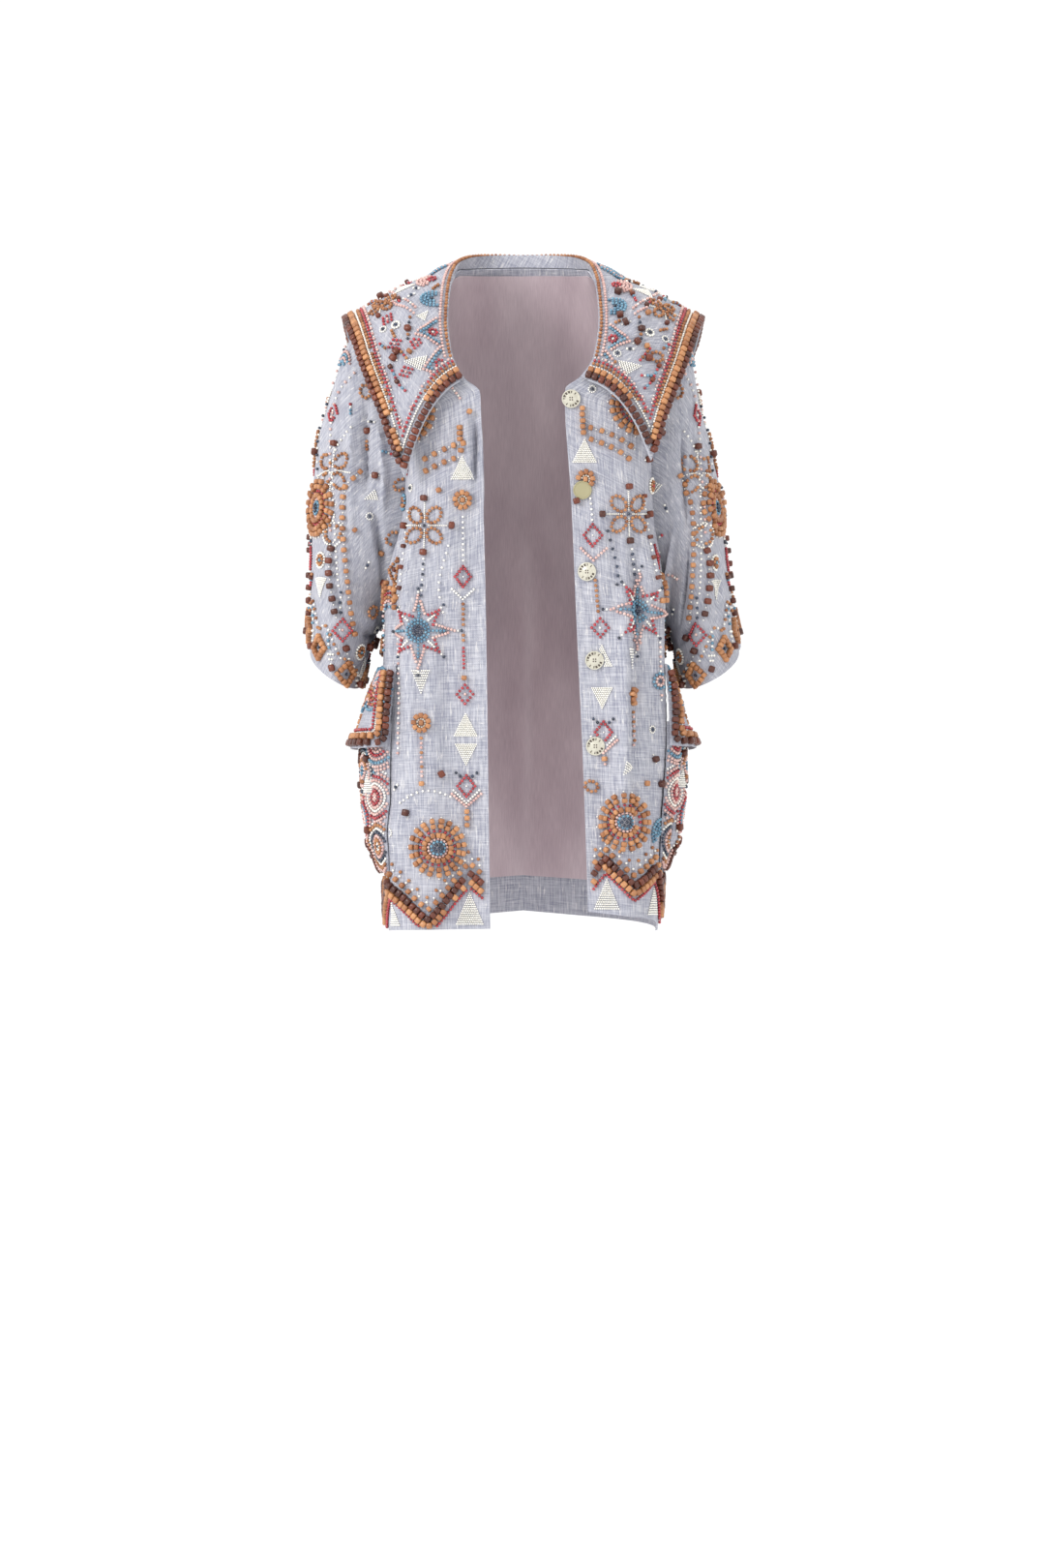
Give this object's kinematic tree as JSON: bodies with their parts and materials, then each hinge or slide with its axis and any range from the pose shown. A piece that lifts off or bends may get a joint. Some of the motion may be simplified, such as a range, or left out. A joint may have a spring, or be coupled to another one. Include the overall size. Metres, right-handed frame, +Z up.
{
  "type": "beaded coat",
  "caption": "Loose open-front cloth coat with wide sleeves, a large pointed collar, side pockets with flaps, a satin-lined back and wooden bead borders.",
  "frame": {"origin": "middle of the neck opening, level with the top of the shoulder seams, where the wearer carries the coat", "axes": "+Z up along the wearer's spine, -Y towards the coat's front, +X towards the wearer's left"},
  "size_m": [0.5148, 0.3154, 0.806],
  "materials": {
    "linen": "slubbed blue-grey weave",
    "satin": "mauve satin",
    "brown_wood": "dark brown varnished wood",
    "amber_wood": "light tan wood",
    "button": "pearly cream",
    "red_glass": "opaque red glass",
    "pink_glass": "opaque pink glass",
    "teal_glass": "opaque grey-teal glass",
    "navy_glass": "opaque navy glass",
    "cream_glass": "opaque cream glass"
  },
  "bodies": {
    "root": {"back": "linen", "back_lining": "satin", "front_left": "linen", "front_right": "linen", "sleeve_left": "linen", "sleeve_right": "linen", "collar": "linen", "pocket_left": "linen", "pocket_right": "linen", "pocket_flap_left": "linen", "pocket_flap_right": "linen", "collar_edge_beads": "brown_wood", "collar_wing_beads_left": "brown_wood", "collar_wing_beads_right": "brown_wood", "hem_beads_back": "brown_wood", "hem_beads_left": "brown_wood", "hem_beads_right": "brown_wood", "flap_beads_left": "brown_wood", "flap_beads_right": "brown_wood", "front_sunburst_left": "amber_wood", "front_sunburst_right": "amber_wood", "sleeve_sunburst_left": "amber_wood", "sleeve_sunburst_right": "amber_wood", "button_1": "button", "button_2": "button", "button_3": "button", "button_4": "button", "button_5": "button"}
  },
  "joints": []
}
